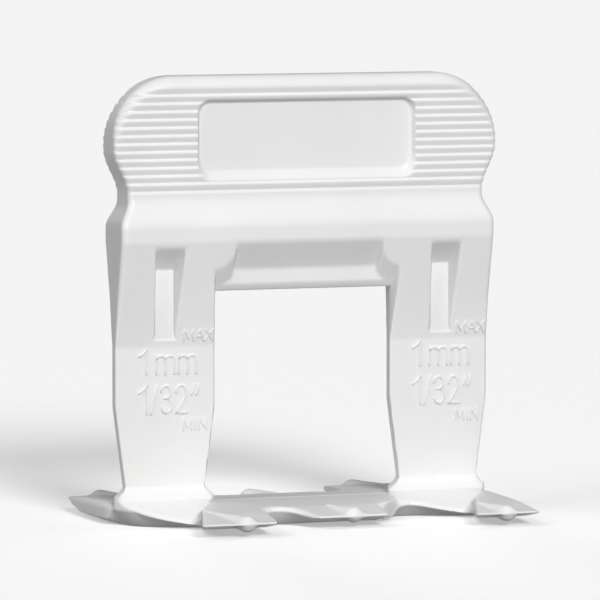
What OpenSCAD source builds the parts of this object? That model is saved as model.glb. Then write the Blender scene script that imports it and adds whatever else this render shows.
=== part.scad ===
// Tile levelling clip, moulded in one piece.
// A finned base plate goes under the edges of two tiles, two thin blades stand
// in the joint between them, and a wedge driven through the window under the
// bridge presses both tiles level. Afterwards the blades snap off at the base.
// Frame: X along the grip, Y through the joint, Z up, origin at the middle of
// the underside. The upper body is the same front and back; the base repeats
// after half a turn about Z.

/* [Blades] */
// Thickness of the blades, which sets the joint between the tiles
joint_w = 1.0; // [0.8:0.1:1.4]
// Distance from the middle to the inner edge of a blade
leg_in = 9.3; // [8.9:0.1:9.6]
// Distance from the middle to the outer edge of a blade
leg_out = 19.7; // [19.4:0.1:19.8]
// Height at which the blades start to narrow downwards
taper_z = 11.7; // [9:0.1:14]
// How far each edge of a blade moves in at the break line
taper_in = 1.05; // [0.6:0.05:1.3]
// Height of the break line
break_z = 3.75; // [3.4:0.05:4.2]

/* [Body] */
// Height of the maximum tile line, where the gussets start
gusset_z = 17.6; // [16:0.1:18.2]
// Height of the underside of the bridge, the top of the wedge window
window_z = 22.95; // [22:0.05:23.4]
// Height of the lower edge of the chin
chin_z = 27.85; // [27.6:0.05:28.2]
// Thickness of the body at the chin
chin_t = 5.5; // [5:0.1:6]
// Thickness of the neck under the grip
neck_t = 3.5; // [3.2:0.1:3.8]
// Half width of the body at the shoulder
shoulder_x = 19.7; // [19.4:0.1:19.8]
// Half width of the neck
neck_x = 18.76; // [18.2:0.02:19.2]

/* [Grip] */
// Height of the top of the grip
top_z = 44.25; // [43.8:0.05:44.6]
// Half width of the grip
grip_x = 20.2; // [20:0.1:20.5]
// Thickness of the grip over the crests
grip_t = 4.1; // [3.9:0.1:4.4]
// Radius of the top corners of the grip
corner_r = 6.4; // [5.6:0.1:6.8]
// Number of grooves
groove_n = 13; // [9:1:13]
// Height of the lowest groove
groove_z = 33.0; // [32.8:0.1:33.2]
// Spacing of the grooves
groove_p = 0.7875; // [0.7:0.0125:0.8]
// Depth of the grooves
groove_d = 0.22; // [0.1:0.02:0.4]

/* [Panel] */
// Half width of the sunk panel at the face
panel_x = 11.5; // [9:0.1:12.5]
// Lower edge of the sunk panel at the face
panel_lo = 33.75; // [33.5:0.05:35]
// Upper edge of the sunk panel at the face
panel_hi = 41.9; // [40:0.1:42]
// Depth of the panel below the crests
panel_d = 0.75; // [0.5:0.05:0.9]
// Radius of the panel's corners
panel_r = 1.2; // [0.6:0.1:2]

/* [Gusset slots] */
// Distance from the middle to the centre of a slot
slot_x = 14.6; // [14:0.1:15.2]
// Width of a slot at the chin
slot_face = 3.2; // [2.6:0.1:3.6]
// Width of a slot at the blade
slot_floor = 2.05; // [1.4:0.05:2.4]
// Height of the lower end of a slot
slot_lo = 18.35; // [18.3:0.05:19.5]

/* [Base] */
// Half length of the base along the joint
base_x = 19.8; // [19.8:0.1:20.1]
// Half width of the base at the outer fins
base_y = 14.7; // [13.6:0.1:15]
// Half width of the base at the middle fins
mid_y = 10.4; // [10:0.1:11.4]
// Thickness of the base plate
plate_t = 2.0; // [1.8:0.05:2.2]
// Height of the top of the thin rim
rim_hi = 1.4; // [1.3:0.05:1.5]
// Height of the underside of the thin rim
rim_lo = 1.15; // [0.9:0.05:1.2]
// Radius of the round noses on the rim
nub_r = 0.8; // [0.6:0.05:0.9]

/* [Hidden] */
$fn = 48;

hw = joint_w / 2;
chin_h = chin_t / 2;
neck_h = neck_t / 2;
grip_h = grip_t / 2;
groove_top = groove_z + groove_n * groove_p;
crest_f = 0.7;             // where the crest sits between two grooves
corner_cx = grip_x - corner_r;
corner_cz = top_z - corner_r;
edge_r = 1.2;              // rounding of the grip's top edge

function mix(a, b, t) = a + (b - a) * t;
function ease(t) = t <= 0 ? 0 : t >= 1 ? 1 : t * t * (3 - 2 * t);
function flip(p) = [for (i = [len(p) - 1 : -1 : 0]) [-p[i][0], p[i][1]]];
function both(p) = concat(p, flip(p));
function turn(p) = concat(p, [for (q = p) -q]);
function arc(c, r, a, b, n) =
    [for (i = [0 : n]) c + r * [cos(mix(a, b, i / n)), sin(mix(a, b, i / n))]];

// a profile in Y and Z, run along X
module along_x(p, l) rotate([90, 0, 90]) linear_extrude(l, center = true) polygon(p);
// an outline in X and Z, run along Y
module along_y(p, l) rotate([90, 0, 0]) linear_extrude(l, center = true) polygon(p);

// ---- upper body ---------------------------------------------------------

// half width of the body and grip at a height
function half_x(z) =
    z < 32.3 ? mix(shoulder_x, neck_x, ease((z - 29.4) / 2.6))
             : mix(neck_x, grip_x, ease((z - 32.6) / 4.4));

// half thickness of a groove row, f = 0 at a groove and 1 at the next
function crest(f) = groove_d * pow(f < crest_f ? (crest_f - f) / crest_f
                                              : (f - crest_f) / (1 - crest_f), 1.3);

body_outline = both(concat(
    [[shoulder_x, gusset_z - 1]],
    [for (i = [0 : 22]) let (z = 29.4 + i * (corner_cz - 29.4) / 22) [half_x(z), z]],
    arc([corner_cx, corner_cz], corner_r, 4, 90, 16)));

top_c = top_z - edge_r;
body_profile = both(concat(
    [[hw, gusset_z - 1], [hw, gusset_z], [chin_h - 0.1, chin_z - 0.15],
     [chin_h, chin_z + 0.15], [chin_h, 29.2]],
    [for (i = [1 : 8]) let (t = i / 8) [mix(chin_h, neck_h, ease(t)), mix(29.2, 32.6, t)]],
    [for (k = [0 : groove_n - 1], f = [0, 0.25, 0.5, 0.7, 0.85])
        [grip_h - crest(f), groove_z + (k + f) * groove_p]],
    arc([grip_h - edge_r, top_c], edge_r, 0, 90, 8)));

module body_blank() intersection() {
    along_y(body_outline, 2 * chin_t);
    along_x(body_profile, 3 * grip_x);
}

// sunk panel, walls drafted towards the floor
module panel_cut() {
    d0 = grip_h - panel_d;
    d1 = grip_h + 1;
    g = (d1 - d0) / panel_d;
    intersection() {
        along_y(let (r = panel_r, x = panel_x + 0.02, lo = panel_lo - 0.02, hi = panel_hi + 0.02)
            both(concat(arc([x - r, lo + r], r, -90, 0, 8), arc([x - r, hi - r], r, 0, 90, 8))), 20);
        along_x([[-d1, panel_lo + 0.95 - 0.95 * g], [-d0, panel_lo + 0.95],
                 [-d0, panel_hi - 0.3], [-d1, panel_hi - 0.3 + 0.3 * g]], 60);
        linear_extrude(60) polygon([[-panel_x + 0.22 - 0.22 * g, -d1], [-panel_x + 0.22, -d0],
                 [panel_x - 0.22, -d0], [panel_x - 0.22 + 0.22 * g, -d1]]);
    }
}

// slot in a gusset, open to the face, with a slanted upper end
module slot_cut() translate([slot_x, 0, 0]) intersection() {
    linear_extrude(60) polygon([[-slot_floor / 2, -hw], [slot_floor / 2, -hw],
        [slot_face / 2, -chin_h], [slot_face / 2 + 0.25, -chin_h - 1],
        [-slot_face / 2 - 0.25, -chin_h - 1], [-slot_face / 2, -chin_h]]);
    along_x([[-hw, slot_lo], [-hw, 25.2], [-chin_h + 0.1, chin_z - 0.4],
             [-chin_h - 1, chin_z - 0.4], [-chin_h - 1, slot_lo]], 8);
}

// relief in front of the bridge, between the gussets
module bridge_cut() {
    bh = 0.95;
    intersection() {
        linear_extrude(60) polygon([[-7.7, -bh + 0.4], [7.7, -bh + 0.4], [7.7, -bh],
            [8.3, -chin_h], [8.6, -chin_h - 1], [-8.6, -chin_h - 1], [-8.3, -chin_h], [-7.7, -bh]]);
        along_x([[-chin_h + 0.1, chin_z - 0.25], [-chin_h - 1, chin_z - 0.25], [-chin_h - 1, 20],
                 [-bh, 20], [-bh, 25.1]], 60);
    }
    intersection() {
        linear_extrude(60) polygon([[-leg_in, -hw], [leg_in, -hw], [leg_in + 0.7, -chin_h],
            [leg_in + 0.9, -chin_h - 1], [-leg_in - 0.9, -chin_h - 1], [-leg_in - 0.7, -chin_h]]);
        along_x([[-hw, 16], [-hw, window_z], [-chin_h, window_z + 3.05],
                 [-chin_h - 1, window_z + 3.05], [-chin_h - 1, 16]], 60);
    }
}

module upper_body() difference() {
    body_blank();
    translate([-leg_in, -10, 0]) cube([2 * leg_in, 20, window_z]);
    for (a = [0, 180]) rotate([0, 0, a]) {
        panel_cut();
        bridge_cut();
        slot_cut();
        mirror([1, 0, 0]) slot_cut();
    }
}

// ---- blades -------------------------------------------------------------

module blade() along_y([[leg_in, gusset_z + 0.4], [leg_in, taper_z],
    [leg_in + taper_in, break_z], [leg_in + taper_in, 1], [leg_out - taper_in, 1],
    [leg_out - taper_in, break_z], [leg_out, taper_z], [leg_out, gusset_z + 0.4]], joint_w);

// ---- base ---------------------------------------------------------------

// plan of the plate with the two outer fins, front half then half a turn: a
// swept nose under each blade, then a fin that widens towards its rim
outer_plan = turn([[-base_x, 0], [-19.55, -0.7], [-18.9, -1.9], [-17.4, -3.4], [-15.7, -4.5],
    [-13.9, -5.3], [-12.6, -5.9], [-15.8, -base_y], [-7.9, -base_y], [-7.3, -10.5], [-6.9, -6.9],
    [-6.2, -6.3], [-5.2, -6.0], [5.6, -6.0], [5.8, -6.9], [6.8, -6.0], [7.8, -4.9], [8.8, -3.9],
    [10.0, -3.4], [11.2, -3.6], [12.6, -4.3], [14.4, -5.1], [16.4, -5.8], [12.8, -base_y],
    [base_x - 0.6, -base_y], [base_x - 0.05, -12], [base_x + 0.25, -9], [base_x + 0.37, -5],
    [base_x + 0.3, -2]]);

// plan of the middle fins
mid_plan = turn([[-6, 0], [-5.2, -5.9], [-4.3, -6.2], [-3.5, -7.0], [-2.9, -8.2], [-2.4, -9.4],
    [-2.1, -mid_y], [5.4, -mid_y], [5.75, -6.9]]);

// lens section of a fin: flat top, bevel to the rim, boat-shaped underside
function fin_section(w, top_w, flat_w) = both(concat(
    [[flat_w, 0]],
    [for (i = [1 : 5]) let (t = i / 5) [mix(flat_w, w, t), rim_lo * pow(t, 1.5)]],
    [[w, rim_hi], [top_w, plate_t]]));

// slope from the foot of a blade down to the nose in front of it
function foot_slope(y) = 2.45 - (y - hw - 0.75) * 0.4;
foot_y = hw + 0.75;

// what is taken off the plate in front of a blade, so its nose lies low
module nose_cut() intersection() {
    linear_extrude(8) polygon([[-5.25, -hw], [4.9, -hw], [1.6, -6.0], [-7.2, -6.0], [-7.2, -4.2],
        [-5.25, -2.0]]);
    along_x([[-foot_y, foot_slope(foot_y)], [-6.2, foot_slope(6.2)], [-6.2, 6], [-foot_y, 6]], 20);
}

// plan of the flare at the foot of a blade, skewed the same way front and back
foot_plan = turn([[-5.2, 0], [-5.37, -hw], [-5.8, -2.0], [-8.3, -4.8], [-8.3, -6.4], [1.4, -6.4],
    [5.03, -hw]]);

// foot of a blade, front and back
module foot() intersection() {
    along_x(both([[6.2, 0.15], [6.2, foot_slope(6.2)], [foot_y, foot_slope(foot_y)],
        [hw + 0.28, 3.05], [hw, break_z]]), 60);
    along_y(let (i = leg_in + taper_in, o = leg_out - taper_in)
        [[i - 4, 0.15], [i - 4, 1.5], [i - 1.3, 2.3], [i - 0.4, 3.05], [i, break_z],
         [o, break_z], [o + 0.4, 3.05], [o + 1.1, 2.35], [o + 1.15, 2.1], [o + 1.15, 0.15]], 20);
    linear_extrude(6) polygon(outer_plan);
    translate([14.5, 0, 0]) linear_extrude(6) polygon(foot_plan);
}

// round nose on the rim with a ridge running back from it, one turned shape
module nub(tip, end) {
    v = end - tip;
    h = norm(v);
    translate(tip) rotate([0, acos(v[2] / h), atan2(v[1], v[0])])
        rotate_extrude() polygon([[0, 0], [0.06, 0], [nub_r, h], [0.87 * nub_r, h + 0.4 * nub_r],
            [0.5 * nub_r, h + 0.75 * nub_r], [0, h + 0.85 * nub_r]]);
}

module base() {
    difference() {
        union() {
            intersection() {
                linear_extrude(plate_t + 1) polygon(outer_plan);
                along_x(fin_section(base_y - 0.1, base_y - 4.9, 5.6), 2 * base_x + 2);
            }
            intersection() {
                linear_extrude(plate_t + 1) polygon(mid_plan);
                along_x(fin_section(mid_y - 0.1, mid_y - 4.2, 4.0), 2 * base_x + 2);
            }
        }
        for (a = [0, 180]) rotate([0, 0, a])
            for (x = [-14.5, 14.5]) translate([x, 0, 0]) nose_cut();
    }
    for (a = [0, 180]) rotate([0, 0, a]) {
        nub([-12.5, -8.0, 1.9], [-10.85, nub_r - base_y, 1.28]);
        nub([0.7, -6.0, 1.9], [1.9, nub_r - mid_y, 1.28]);
        nub([15.6, -9.0, 1.9], [16.4, nub_r - base_y, 1.28]);
    }
}

module levelling_clip() color("white") {
    upper_body();
    for (a = [0, 180]) rotate([0, 0, a]) {
        blade();
        foot();
    }
    base();
}

levelling_clip();
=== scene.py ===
import math

import bpy
import numpy as np
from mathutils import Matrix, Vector


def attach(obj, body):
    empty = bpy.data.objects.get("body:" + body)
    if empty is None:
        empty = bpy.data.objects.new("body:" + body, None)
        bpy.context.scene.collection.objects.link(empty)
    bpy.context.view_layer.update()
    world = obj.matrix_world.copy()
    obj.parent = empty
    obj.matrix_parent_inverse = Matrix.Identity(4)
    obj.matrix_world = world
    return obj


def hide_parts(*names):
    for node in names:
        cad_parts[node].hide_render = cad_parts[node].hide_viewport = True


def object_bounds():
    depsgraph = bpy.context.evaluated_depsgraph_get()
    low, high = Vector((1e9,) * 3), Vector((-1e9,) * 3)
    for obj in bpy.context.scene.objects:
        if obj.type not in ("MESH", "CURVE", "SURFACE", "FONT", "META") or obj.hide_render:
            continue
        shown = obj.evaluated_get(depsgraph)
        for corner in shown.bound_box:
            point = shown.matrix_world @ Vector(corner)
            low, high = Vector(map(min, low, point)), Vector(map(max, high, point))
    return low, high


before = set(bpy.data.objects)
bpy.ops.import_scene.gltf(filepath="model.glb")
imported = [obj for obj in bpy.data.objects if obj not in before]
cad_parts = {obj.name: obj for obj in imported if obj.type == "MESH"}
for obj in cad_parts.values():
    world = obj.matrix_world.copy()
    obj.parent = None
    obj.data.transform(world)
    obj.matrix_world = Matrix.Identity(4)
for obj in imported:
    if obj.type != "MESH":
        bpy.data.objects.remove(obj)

cad_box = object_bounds()

# The clip is one moulding, so the looks are one surface too. It is drawn from a
# field that is negative inside the plastic, in millimetres, with the same
# measures as the CAD part, and every edge of it gets its own moulded rounding.
MM = 0.001

# ---- measures -------------------------------------------------------------------

HW = 0.5                                   # half thickness of a blade
LEG_IN, LEG_OUT, TAPER, TAPER_Z, BREAK_Z = 9.3, 19.7, 1.05, 11.7, 3.75
GUSSET_Z, WINDOW_Z, CHIN_Z, CHIN_H = 17.6, 22.95, 27.85, 2.75
SHOULDER_X, NECK_X, GRIP_X, TOP_Z, CORNER_R = 19.7, 18.76, 20.2, 44.25, 6.4
GRIP_H, GROOVE_Z, GROOVE_P, GROOVE_D, GROOVE_N, CREST_F = 2.05, 33.0, 0.7875, 0.22, 13, 0.7
LEG_C, FOOT_H = 14.5, 4.15                 # middle of a blade, half width of its foot
BASE_Y, MID_Y, PLATE = 14.6, 10.3, 2.0


# ---- small tools ----------------------------------------------------------------

def rmax(a, b, r):
    """Both at once, with the outer edge rounded."""
    return np.minimum(np.maximum(a, b), -r) + np.hypot(np.maximum(a + r, 0), np.maximum(b + r, 0))


def rmin(a, b, r):
    """Either of the two, with a fillet where they meet."""
    return np.maximum(np.minimum(a, b), r) - np.hypot(np.maximum(r - a, 0), np.maximum(r - b, 0))


def ease(t):
    t = np.clip(t, 0, 1)
    return t * t * (3 - 2 * t)


def spline(pts, n=6):
    """A smooth line through these points."""
    p = np.array(pts, float)
    p = np.vstack([2 * p[0] - p[1], p, 2 * p[-1] - p[-2]])
    out = []
    for i in range(1, len(p) - 2):
        a, b, c, d = p[i - 1], p[i], p[i + 1], p[i + 2]
        for t in np.linspace(0, 1, n, endpoint=False):
            out.append(0.5 * (2 * b + (c - a) * t + (2 * a - 5 * b + 4 * c - d) * t ** 2
                              + (3 * b - a - 3 * c + d) * t ** 3))
    out.append(p[-2])
    return [tuple(v) for v in out]


def poly(px, py, pts):
    """Signed distance to a closed outline."""
    shape = np.broadcast(px, py).shape
    d = np.full(shape, 1e9)
    inside = np.zeros(shape, bool)
    for (ax, ay), (bx, by) in zip(pts, pts[1:] + pts[:1]):
        ex, ey = bx - ax, by - ay
        wx, wy = px - ax, py - ay
        t = np.clip((wx * ex + wy * ey) / max(ex * ex + ey * ey, 1e-12), 0, 1)
        d = np.minimum(d, (wx - ex * t) ** 2 + (wy - ey * t) ** 2)
        if ey != 0:
            inside ^= ((ay > py) != (by > py)) & (px < ex * (py - ay) / ey + ax)
    return np.where(inside, -1.0, 1.0) * np.sqrt(d)


# ---- upper body -----------------------------------------------------------------

def half_x(z):
    low = SHOULDER_X + (NECK_X - SHOULDER_X) * ease((z - 29.4) / 2.6)
    high = NECK_X + (GRIP_X - NECK_X) * ease((z - 32.6) / 4.4)
    return np.where(z < 32.3, low, high)


# right half of the front outline, carried past the middle line
_cx, _cz = GRIP_X - CORNER_R, TOP_Z - CORNER_R
OUTLINE = [(LEG_IN + TAPER, 1.0), (LEG_OUT - TAPER, 1.0), (LEG_OUT - TAPER, BREAK_Z), (LEG_OUT, TAPER_Z)]
OUTLINE += [(float(half_x(z)), float(z)) for z in np.linspace(29.2, _cz, 40)]
OUTLINE += [(_cx + CORNER_R * math.cos(a), _cz + CORNER_R * math.sin(a))
            for a in np.linspace(0.05, math.pi / 2, 24)]
OUTLINE += [(-6.0, TOP_Z), (-6.0, WINDOW_Z), (LEG_IN, WINDOW_Z), (LEG_IN, TAPER_Z), (LEG_IN + TAPER, BREAK_Z)]


def thickness_table():
    z = np.arange(0, 46, 0.005)
    h = np.interp(z, [0, GUSSET_Z, CHIN_Z - 0.1, CHIN_Z + 0.1, 29.2], [HW, HW, CHIN_H - 0.05, CHIN_H, CHIN_H])
    neck = CHIN_H + (1.93 - CHIN_H) * ease((z - 29.2) / 3.3)
    h = np.where(z > 29.2, neck, h)
    k = np.exp(-0.5 * (np.arange(-60, 61) * 0.005 / 0.09) ** 2)
    h = np.convolve(np.pad(h, 60, mode="edge"), k / k.sum(), "valid")
    row = (z - GROOVE_Z) / GROOVE_P
    f = row - np.floor(row)
    side = np.where(f < CREST_F, (CREST_F - f) / CREST_F, (f - CREST_F) / (1 - CREST_F))
    cut = GROOVE_D * side ** 1.3
    cut = np.where((row > GROOVE_N - 1) & (f > CREST_F) | (row >= GROOVE_N), 0, cut)
    start = GROOVE_Z - 0.3
    flank = np.interp(z, [start, GROOVE_Z], [1.93, GRIP_H - GROOVE_D])
    ribbed = np.where(z >= GROOVE_Z, GRIP_H - cut, np.where(z > start, flank, h))
    plain = np.where(z > start, np.interp(z, [start, GROOVE_Z + 0.5], [1.93, GRIP_H - 0.08]), h)
    k = np.exp(-0.5 * (np.arange(-20, 21) * 0.005 / 0.025) ** 2)
    ribbed = np.convolve(np.pad(ribbed, 20, mode="edge"), k / k.sum(), "valid")
    plain = np.convolve(np.pad(plain, 20, mode="edge"), k / k.sum(), "valid")
    return z, ribbed, np.gradient(ribbed, z), plain


TZ, TH, TD, TP = thickness_table()


def half_y(z):
    return np.interp(z, TZ, TH)


def body(x, y, z):
    ax, ay = np.abs(x), np.abs(y)
    o = poly(ax, z, OUTLINE)
    h, dh, smooth = np.interp(z, TZ, TH), np.interp(z, TZ, TD), np.interp(z, TZ, TP)
    # the grooves run out towards the edge of the grip
    h = smooth + (h - smooth) * (0.55 + 0.45 * ease((-o - 0.1) / 0.8))
    t = (ay - h) / np.sqrt(1 + dh * dh)
    # blades have crisp edges, gussets soft ones, and the grip rolls over at the top
    r = 0.13 + 0.37 * ease((z - 17.4) / 5.5)
    r = r * np.where(ax < 14, 0.6, 1.0) * (z < 30) + r * (z >= 30)
    r = r + 0.72 * ease((z - 37.2) / 5.0)
    f = rmax(t, o, r)

    # sunk panel: floor, drafted walls, round corners
    d = (ay - (GRIP_H - 0.75)) / 0.75
    side = (ax - (11.5 - 0.22 + 0.22 * d)) * 0.96
    top = (z - (41.9 - 0.3 + 0.3 * d)) * 0.93
    low = ((33.75 + 0.95 - 0.95 * d) - z) * 0.62
    c = rmax(rmax(side, np.maximum(top, low), 1.2), GRIP_H - 0.75 - ay, 0.18)
    f = rmax(f, -c, 0.12)

    # slot in each gusset
    s = np.abs(ax - 14.6)
    side = (s - (1.025 + 0.2556 * (ay - HW)) - 0.1 * ease((19.0 - z) / 0.6) * (z < 19.0)) * 0.97
    roof = ((z - 25.2) * 2.15 - (ay - HW) * 2.25) / 3.112
    c = rmax(rmax(side, roof, 0.12), np.maximum(HW - ay, 18.35 - z), 0.08)
    f = rmax(f, -c, 0.14)

    # relief in front of the bridge
    u = np.clip((25.1 - z + 1.5 * (ay - 0.95)) / 1.75, 0, 1)
    side = (ax - (7.55 + 0.12 * (ay - 0.95) + 1.75 * u ** 2.8)) / np.sqrt(1.02 + (3.5 * u ** 1.8) ** 2)
    back = 0.95 - 0.2 * ease((23.7 - z) / 0.8) - ay
    roof = ((z - 25.1) * 1.4 - (ay - 0.95) * 2.15) / 2.566
    c = rmax(rmax(side, back, 0.12), roof, 0.12)
    f = rmax(f, -c, 0.12)
    side = (ax - (LEG_IN + 0.31 * (ay - HW))) * 0.955
    roof = ((z - 22.95) * 2.2 - (ay - HW) * 3.0) / 3.72
    c = rmax(np.maximum(side, HW - ay), roof, 0.1)
    return rmax(f, -c, 0.14)


# ---- base -----------------------------------------------------------------------

# front half of the plan: nose and fin three times over, then half a turn of it
NOSE_1 = spline([(-19.8, 0.0), (-19.55, -0.7), (-18.9, -1.9), (-17.4, -3.4), (-15.7, -4.5), (-13.9, -5.3), (-12.6, -5.9)])
NOSE_2 = spline([(-6.9, -6.9), (-6.2, -6.3), (-5.2, -6.0), (-4.3, -6.2), (-3.5, -7.0), (-2.9, -8.2), (-2.4, -9.4), (-2.1, -MID_Y)])
NOSE_3 = spline([(5.8, -6.9), (6.8, -6.0), (7.8, -4.9), (8.8, -3.9), (10.0, -3.4), (11.2, -3.6), (12.6, -4.3), (14.4, -5.1), (16.4, -5.8)])
FRONT = NOSE_1 + [(-15.8, -BASE_Y), (-7.9, -BASE_Y), (-7.3, -10.5)] + NOSE_2 + [(5.4, -MID_Y)] + NOSE_3
FRONT += [(12.8, -BASE_Y)]
FRONT += spline([(19.5, -BASE_Y), (19.85, -12.0), (20.07, -9.0), (20.17, -5.0), (20.1, -2.0), (19.85, -0.4)])
PLAN = FRONT + [(-a, -b) for a, b in FRONT]
NUBS = [((-12.5, -8.0, 1.98), (-10.85, -13.8, 1.3)), ((0.7, -6.0, 1.96), (1.9, -9.5, 1.27)),
        ((15.3, -9.0, 1.95), (16.4, -13.8, 1.3))]
NUB_R = 0.79


def round_cone(x, y, z, a, b, r1, r2):
    ba = np.array(b, float) - np.array(a, float)
    l2 = float(ba @ ba)
    rr = r1 - r2
    a2 = l2 - rr * rr
    px, py, pz = x - a[0], y - a[1], z - a[2]
    yy = px * ba[0] + py * ba[1] + pz * ba[2]
    zz = yy - l2
    x2 = (px * l2 - ba[0] * yy) ** 2 + (py * l2 - ba[1] * yy) ** 2 + (pz * l2 - ba[2] * yy) ** 2
    y2, z2 = yy * yy * l2, zz * zz * l2
    k = np.sign(rr) * rr * rr * x2
    end = np.sqrt(x2 + z2) / l2 - r2
    start = np.sqrt(x2 + y2) / l2 - r1
    mid = (np.sqrt(x2 * a2 / l2) + yy * rr) / l2 - r1
    return np.where(np.sign(zz) * a2 * z2 > k, end, np.where(np.sign(yy) * a2 * y2 < k, start, mid))


def base(x, y, z):
    back = y > 0
    fx, w = np.where(back, -x, x), np.abs(y)          # front half and its half turn
    plan = poly(x, y, PLAN)
    # plate: low ridge along the joint, flat, then a bevel to the thin rim
    inner = ease((fx + 7.3) / 2.0) * ease((7.2 - fx) / 1.4)      # 1 on the short middle fin, 0 on the long ones
    rim = BASE_Y + (MID_Y - BASE_Y) * inner
    crease = 9.8 - 3.6 * inner
    rim_hi, rim_lo = 1.45 - 0.15 * inner, 1.25 - 0.17 * inner
    flat = 2.17 - 0.28 * w / crease + 0.05 * np.exp(-(w / 0.13) ** 2)
    top = np.minimum(flat, rim_hi + (rim - w) * (1.89 - rim_hi) / (rim - crease))
    # hull that rises to the rims
    start = 5.6 - 1.6 * inner
    under = rim_lo * np.clip((w - start) / (rim - start), 0, 1) ** 1.3
    end = ease((np.abs(fx) - 17.3) / 1.5)
    plate = rmax((z - top) * 0.98, plan, np.clip(0.6 * (top - under), 0.08, 0.15 + np.maximum(0.45 * inner, 0.55 * end)))
    crown, f = top, None
    for c in (-LEG_C, LEG_C):
        # flare at the foot of a blade, cut off at an angle on both sides
        s = fx - c
        out = np.maximum(w - HW, 0)
        q = np.hypot(0.48 * np.maximum(np.abs(s) - FOOT_H, 0), out)
        slope = np.interp(q, [0, 0.1, 0.28, 0.75, 12.0], [BREAK_Z, 3.42, 3.05, 2.45, 2.45 - 0.40 * 11.25])
        skew = 0.34 * np.minimum(w, HW)
        line = (s - (5.2 - skew - 0.6 * out)) * 0.857
        left = -(s + 5.2 + skew + 0.3 * np.minimum(out, 1.5) + 0.9 * np.clip(out - 1.5, 0, 1.0)) * 0.8
        inside = -(s + 5.25 + 0.45 * np.clip(w - 2.0, 0, 2.3)) * 0.8
        away = np.maximum(ease((np.maximum(line, HW - w) - 0.1) / 0.4), ease(inside / 2.2))
        crown = slope + (crown - slope) * away
        deep = np.clip(2.05 - z, 0, 2.05)
        gap = np.maximum(np.maximum(line + 0.1, inside + 0.5 * deep), HW - w)
        plate = rmax(plate, -gap * 0.9, 0.06)
        g = rmax((z - slope) * 0.9, plan, np.clip(0.5 * (slope - under), 0.08, 0.4))
        g = rmax(rmax(g, line, 0.06), left, 0.06)
        f = g if f is None else np.minimum(f, g)
    f = rmin(f, plate, 0.1)
    # rounded bow under every nose and end
    lip = np.clip(crown - 0.35, 0.0, 1.65)
    lip = lip * np.maximum(inner, np.maximum(ease((6.5 - w) / 0.8), end))
    lip = lip * (1 - 0.65 * ease((fx - 17.3) / 1.5) * ease(w / 1.5)) * (1 - 0.5 * ease((fx - 4.6) / 1.2) * ease((9.2 - fx) / 1.4))
    t = np.clip(1 + plan / 1.6, 0, 1)
    bow = lip * t ** 1.4
    steep = np.where(bow > under, lip * 0.875 * t ** 0.4, 0.3)
    under = np.maximum(under, bow)
    f = rmax(f, (under - z) / np.sqrt(1 + steep * steep), 0.1)
    for a, b in NUBS:
        f = rmin(f, round_cone(b[0] + (fx - b[0]) * 0.85, -w, z, a, b, 0.05, NUB_R), 0.34)
        keel = round_cone(fx, -w, z, (b[0] - 1.9, b[1] + 0.3, b[2] - 0.1), (b[0] - 0.1, b[1] + 0.05, b[2]), 0.05, NUB_R - 0.05)
        f = rmin(f, rmax(keel, z - 1.2, 0.06), 0.08)
    return np.maximum(f, -z)


def field(x, y, z):
    return rmin(body(x, y, z), base(x, y, z), 0.12)


# ---- surface --------------------------------------------------------------------

def axis(*runs):
    out = []
    for a, b, step in runs:
        out.append(np.linspace(a, b, max(2, int(round((b - a) / step)) + 1))[:-1])
    out.append(np.array([runs[-1][1]]))
    return np.concatenate(out)


hx = axis((0.17, 8.6, 0.43), (8.6, 16.0, 0.36), (16.0, 20.57, 0.28))
gx = np.concatenate([-hx[::-1], hx])
hy = axis((0.05, 0.75, 0.1), (0.75, 3.15, 0.18), (3.15, 14.9, 0.42))
gy = np.concatenate([-hy[::-1], hy])
gz = axis((-0.25, 4.15, 0.1), (4.15, 17.2, 0.5), (17.2, 32.6, 0.25), (32.6, 44.6, GROOVE_P / 8))

F = np.full((len(gx), len(gy), len(gz)), 1.0)
mid = np.nonzero(np.abs(gy) < 3.3)[0]
low = np.nonzero(gz < 4.3)[0]
X, Z = gx[:, None, None], gz[None, None, :]
F[:, mid[0]:mid[-1] + 1, :] = body(X, gy[mid][None, :, None], Z)
B = base(X, gy[None, :, None], gz[low][None, None, :])
F[:, :, :low[-1] + 1] = rmin(F[:, :, :low[-1] + 1], B, 0.12)
F[np.abs(F) < 1e-7] = 1e-7
neg = F < 0

# one vertex in every cell that the surface passes through
corner = [neg[i:len(gx) - 1 + i, j:len(gy) - 1 + j, k:len(gz) - 1 + k] for i in (0, 1) for j in (0, 1) for k in (0, 1)]
some, every = np.zeros_like(corner[0]), np.ones_like(corner[0])
for c in corner:
    some |= c
    every &= c
ci, cj, ck = np.nonzero(some & ~every)
index = np.full(some.shape, -1)
index[ci, cj, ck] = np.arange(len(ci))
acc, cnt = np.zeros((len(ci), 3)), np.zeros(len(ci))
steps = ((1, 0, 0), (0, 1, 0), (0, 0, 1))
for di, dj, dk in steps:
    others = [(a, b) for a in (0, 1) for b in (0, 1)]
    for a, b in others:
        if di:
            i0, j0, k0 = ci, cj + a, ck + b
        elif dj:
            i0, j0, k0 = ci + a, cj, ck + b
        else:
            i0, j0, k0 = ci + a, cj + b, ck
        i1, j1, k1 = i0 + di, j0 + dj, k0 + dk
        f0, f1 = F[i0, j0, k0], F[i1, j1, k1]
        hit = (f0 < 0) != (f1 < 0)
        t = np.where(hit, f0 / np.where(hit, f0 - f1, 1), 0)
        p = np.stack([gx[i0] + (gx[i1] - gx[i0]) * t, gy[j0] + (gy[j1] - gy[j0]) * t,
                      gz[k0] + (gz[k1] - gz[k0]) * t], 1)
        acc += p * hit[:, None]
        cnt += hit
P = acc / cnt[:, None]

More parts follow.
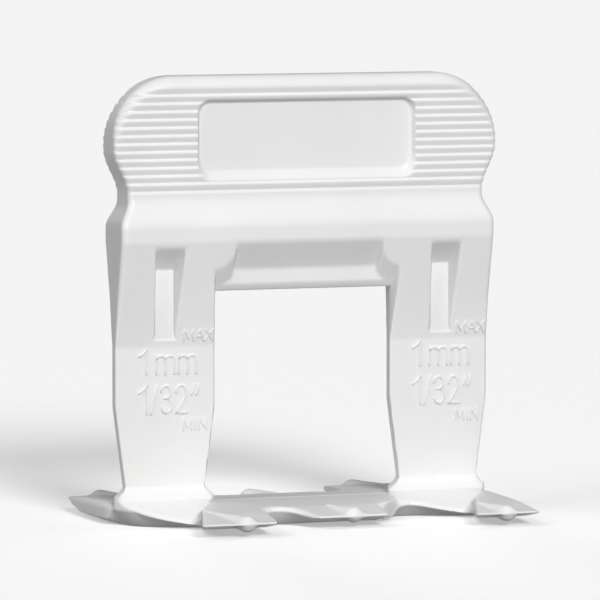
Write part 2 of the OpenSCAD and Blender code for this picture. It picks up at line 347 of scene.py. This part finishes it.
quads = []
for n, (di, dj, dk) in enumerate(steps):
    a = neg[:len(gx) - di, :len(gy) - dj, :len(gz) - dk]
    b = neg[di:, dj:, dk:]
    i, j, k = np.nonzero(a != b)
    ok = ((i > 0) | (di == 1)) & ((j > 0) | (dj == 1)) & ((k > 0) | (dk == 1))
    ok &= (i < len(gx) - 1) & (j < len(gy) - 1) & (k < len(gz) - 1)
    i, j, k = i[ok], j[ok], k[ok]
    inside_first = a[i, j, k]
    if n == 0:
        q = [index[i, j - 1, k - 1], index[i, j, k - 1], index[i, j, k], index[i, j - 1, k]]
    elif n == 1:
        q = [index[i - 1, j, k - 1], index[i - 1, j, k], index[i, j, k], index[i, j, k - 1]]
    else:
        q = [index[i - 1, j - 1, k], index[i, j - 1, k], index[i, j, k], index[i - 1, j, k]]
    q = np.stack(q, 1)
    quads.append(np.where(inside_first[:, None], q, q[:, ::-1]))
quads = np.concatenate(quads)
del F, B, neg, corner, some, every


def field_at(p):
    """The field at single points, leaving out the half that is far away."""
    out = np.empty(len(p))
    high = p[:, 2] > 4.6
    far = ~high & (np.abs(p[:, 1]) > 3.2)
    near = ~high & ~far
    for part, fun in ((high, body), (far, base), (near, field)):
        q = p[part]
        out[part] = fun(q[:, 0], q[:, 1], q[:, 2])
    return out


def slope_at(p, e=0.004):
    g = np.empty_like(p)
    for n in range(3):
        d = np.zeros(3)
        d[n] = e
        g[:, n] = (field_at(p + d) - field_at(p - d)) / (2 * e)
    return g


# settle the vertices on the surface and take its normals there
g = slope_at(P)
g2 = np.maximum((g * g).sum(1), 0.05)
for _ in range(2):
    move = (field_at(P) / g2)[:, None] * g
    size = np.linalg.norm(move, axis=1, keepdims=True)
    P -= move * np.minimum(1, 0.12 / np.maximum(size, 1e-9))
g = slope_at(P, 0.012)
N = g / np.maximum(np.linalg.norm(g, axis=1, keepdims=True), 1e-9)
P[:, 0] = np.clip(P[:, 0], cad_box[0][0] / MM, cad_box[1][0] / MM)
P[:, 1] = np.clip(P[:, 1], cad_box[0][1] / MM, cad_box[1][1] / MM)
P[:, 2] = np.clip(P[:, 2], cad_box[0][2] / MM, cad_box[1][2] / MM)


def make(name, verts, faces, normals=None):
    me = bpy.data.meshes.new(name)
    me.from_pydata([tuple(v) for v in verts], [], [tuple(int(i) for i in f) for f in faces])
    me.update()
    me.polygons.foreach_set("use_smooth", [True] * len(me.polygons))
    if normals is not None:
        me.normals_split_custom_set_from_vertices([tuple(n) for n in normals])
    ob = bpy.data.objects.new(name, me)
    bpy.context.scene.collection.objects.link(ob)
    return ob


clip = make("clip_moulding", P * MM, quads, N)

# ---- size marks on the blades ---------------------------------------------------

# strokes of each sign in a box one wide and one high
STROKES = {
    "1": [[(0, 0.76), (0.5, 0.86), (1, 1)], [(1, 1), (1, 0)]],
    "m": [[(0, 1), (0, 0)], [(0, 0.8), (0.1, 0.95), (0.27, 1), (0.44, 0.94), (0.5, 0.78), (0.5, 0)],
          [(0.5, 0.8), (0.6, 0.95), (0.77, 1), (0.94, 0.94), (1, 0.78), (1, 0)]],
    "/": [[(0, 0), (1, 1)]],
    "3": [[(0, 0.8), (0.1, 0.94), (0.4, 1), (0.75, 0.97), (0.93, 0.84), (0.9, 0.66), (0.7, 0.56), (0.35, 0.54)],
          [(0.7, 0.56), (0.95, 0.42), (1, 0.25), (0.88, 0.08), (0.55, 0), (0.2, 0.04), (0, 0.2)]],
    "2": [[(0, 0.74), (0.06, 0.9), (0.3, 1), (0.65, 1), (0.92, 0.88), (0.95, 0.7), (0.75, 0.48), (0.35, 0.22), (0, 0)],
          [(0, 0), (1, 0)]],
    "q": [[(0.4, 1), (0.36, 0.84), (0.12, 0.66)], [(1, 1), (0.96, 0.84), (0.72, 0.66)]],
    "M": [[(0, 0), (0, 1), (0.5, 0.2), (1, 1), (1, 0)]],
    "A": [[(0, 0), (0.5, 1), (1, 0)], [(0.2, 0.36), (0.8, 0.36)]],
    "X": [[(0, 0), (1, 1)], [(0, 1), (1, 0)]],
    "I": [[(0.5, 0), (0.5, 1)]],
    "N": [[(0, 0), (0, 1), (1, 0), (1, 1)]],
}


def stroke(line, wide, high):
    """A low rounded ridge along a line on the front of a blade."""
    fine = []
    for (ax, az), (bx, bz) in zip(line, line[1:]):
        n = max(1, int(math.hypot(bx - ax, bz - az) / 0.3))
        fine += [(ax + (bx - ax) * i / n, az + (bz - az) * i / n) for i in range(n)]
    p = np.array(fine + [line[-1]], float)
    t = np.gradient(p, axis=0)
    t /= np.linalg.norm(t, axis=1, keepdims=True)
    grow = np.ones(len(p))
    h = wide / 2
    p = np.vstack([p[0] - t[0] * h, p[0] - t[0] * h * 0.7, p, p[-1] + t[-1] * h * 0.7, p[-1] + t[-1] * h])
    t = np.vstack([t[0], t[0], t, t[-1], t[-1]])
    grow = np.concatenate([[0.15, 0.7], grow, [0.7, 0.15]])
    side = np.stack([t[:, 1], -t[:, 0]], 1)
    across = np.array([-1.0, -0.72, -0.3, 0.3, 0.72, 1.0])
    lift = np.array([-0.4, 0.52, 1.0, 1.0, 0.52, -0.4])
    v = []
    for q, n, w in zip(p, side, grow):
        for a, l in zip(across, lift):
            x, z = q + n * a * h * w
            v.append((x, -half_y(z) - l * high * (w if l > 0 else 1), z))
    k, f = len(across), []
    for i in range(len(p) - 1):
        f += [(i * k + j, i * k + j + 1, (i + 1) * k + j + 1, (i + 1) * k + j) for j in range(k - 1)]
    f.append(tuple(range(k))[::-1])
    f.append(tuple(range((len(p) - 1) * k, len(p) * k)))
    return np.array(v), f


MARKS = [("1", -2.7, -1.95, 14.95, 17.3), ("m", -0.95, 0.95, 14.95, 16.7), ("m", 1.4, 3.2, 14.95, 16.7),
         ("1", -2.7, -1.95, 11.05, 13.75), ("/", -1.5, -0.85, 11.05, 13.75), ("3", -0.4, 0.6, 11.05, 13.75),
         ("2", 1.15, 2.2, 11.05, 13.75), ("q", 2.65, 3.5, 11.05, 13.75),
         ("M", 1.9, 2.75, 9.3, 10.5), ("I", 3.0, 3.3, 9.3, 10.5), ("N", 3.5, 4.25, 9.3, 10.5),
         ("M", 1.9, 2.85, 18.1, 19.25), ("A", 3.05, 3.95, 18.1, 19.25), ("X", 4.1, 4.9, 18.1, 19.25)]
verts, faces = [], []
for turn in (1, -1):
    for c in (-LEG_C, LEG_C):
        for sign, x0, x1, z0, z1 in MARKS:
            big = z1 - z0 > 1.5
            for line in STROKES[sign]:
                at = [(c + x0 + (x1 - x0) * a, z0 + (z1 - z0) * b) for a, b in line]
                v, f = stroke(at, 0.4 if big else 0.27, 0.17 if big else 0.12)
                v[:, :2] *= turn
                n = sum(len(a) for a in verts)
                verts.append(v)
                faces += [[i + n for i in p] for p in f]
marks = make("size_marks", np.concatenate(verts) * MM, faces)

# ---- material -------------------------------------------------------------------

def plastic():
    m = bpy.data.materials.new("white_plastic")
    m.use_nodes = True
    nt = m.node_tree
    b = nt.nodes["Principled BSDF"]
    b.inputs["IOR"].default_value = 1.49
    b.inputs["Subsurface Weight"].default_value = 0.12
    b.inputs["Subsurface Radius"].default_value = (1.0, 0.95, 0.9)
    b.inputs["Subsurface Scale"].default_value = 0.0006
    at = nt.nodes.new("ShaderNodeTexCoord")

    def noise(scale, detail, rough):
        n = nt.nodes.new("ShaderNodeTexNoise")
        n.inputs["Scale"].default_value = scale
        n.inputs["Detail"].default_value = detail
        n.inputs["Roughness"].default_value = rough
        nt.links.new(at.outputs["Object"], n.inputs["Vector"])
        return n

    # slow flow shading of the moulding
    flow = noise(140.0, 3.0, 0.55)
    ramp = nt.nodes.new("ShaderNodeValToRGB")
    ramp.color_ramp.elements[0].position = 0.3
    ramp.color_ramp.elements[0].color = (0.865, 0.866, 0.862, 1)
    ramp.color_ramp.elements[1].position = 0.7
    ramp.color_ramp.elements[1].color = (0.905, 0.905, 0.898, 1)
    nt.links.new(flow.outputs["Fac"], ramp.inputs["Fac"])
    nt.links.new(ramp.outputs["Color"], b.inputs["Base Color"])
    # satin from the mould's fine spark texture
    grain = noise(900.0, 2.0, 0.5)
    span = nt.nodes.new("ShaderNodeMapRange")
    span.inputs["To Min"].default_value = 0.36
    span.inputs["To Max"].default_value = 0.52
    nt.links.new(grain.outputs["Fac"], span.inputs["Value"])
    nt.links.new(span.outputs["Result"], b.inputs["Roughness"])
    fine = noise(4200.0, 2.0, 0.6)
    bump = nt.nodes.new("ShaderNodeBump")
    bump.inputs["Strength"].default_value = 0.12
    bump.inputs["Distance"].default_value = 0.00004
    nt.links.new(fine.outputs["Fac"], bump.inputs["Height"])
    nt.links.new(bump.outputs["Normal"], b.inputs["Normal"])
    return m


white = plastic()
for ob in (clip, marks):
    ob.data.materials.append(white)
    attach(ob, "root")
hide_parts("levelling_clip")

# ---- floor, light and camera ----------------------------------------------------

scene = bpy.context.scene
bpy.ops.mesh.primitive_plane_add(size=6, location=(0, 0, -0.00002))
floor = bpy.context.object
floor.name = "floor"
pale = bpy.data.materials.new("pale_floor")
pale.use_nodes = True
tree = pale.node_tree
sheet = tree.nodes["Principled BSDF"]
sheet.inputs["Base Color"].default_value = (0.93, 0.93, 0.93, 1)
sheet.inputs["Roughness"].default_value = 0.8
sheet.inputs["Emission Color"].default_value = (1, 1, 1, 1)
sheet.inputs["Emission Strength"].default_value = 0.34       # lit from below, like a light table
floor.data.materials.append(pale)
floor.visible_diffuse = False

world = bpy.data.worlds.new("studio")
scene.world = world
world.use_nodes = True
world.node_tree.nodes["Background"].inputs[0].default_value = (1, 1, 1, 1)
world.node_tree.nodes["Background"].inputs[1].default_value = 0.11


def lamp(name, azimuth, elevation, power, soft):
    """A broad soft light from far away; azimuth 0 is straight in front."""
    li = bpy.data.lights.new(name, "SUN")
    li.energy = power
    li.angle = math.radians(soft)
    ob = bpy.data.objects.new(name, li)
    a, e = math.radians(azimuth), math.radians(elevation)
    ob.location = (math.sin(a) * math.cos(e), -math.cos(a) * math.cos(e), math.sin(e))
    ob.rotation_euler = (-ob.location).to_track_quat("-Z", "Y").to_euler()
    scene.collection.objects.link(ob)
    return ob


lamp("key", -2, 26, 2.43, 18)
lamp("fill", -78, 36, 0.86, 40)
lamp("back", 178, 6, 0.9, 12).visible_glossy = False
scene.view_settings.view_transform = "Standard"

cam = bpy.data.cameras.new("camera")
eye = bpy.data.objects.new("camera", cam)
scene.collection.objects.link(eye)
cam.sensor_width = 36.0
cam.sensor_fit = "HORIZONTAL"
cam.lens = 361.4
cam.clip_start, cam.clip_end = 0.01, 20
eye.location = (-0.21369, -0.55640, 0.06728)
_a, _e = math.radians(21.0), math.radians(4.367)
look = Vector((math.sin(_a) * math.cos(_e), math.cos(_a) * math.cos(_e), -math.sin(_e)))
eye.rotation_euler = look.to_track_quat("-Z", "Y").to_euler()
scene.camera = eye
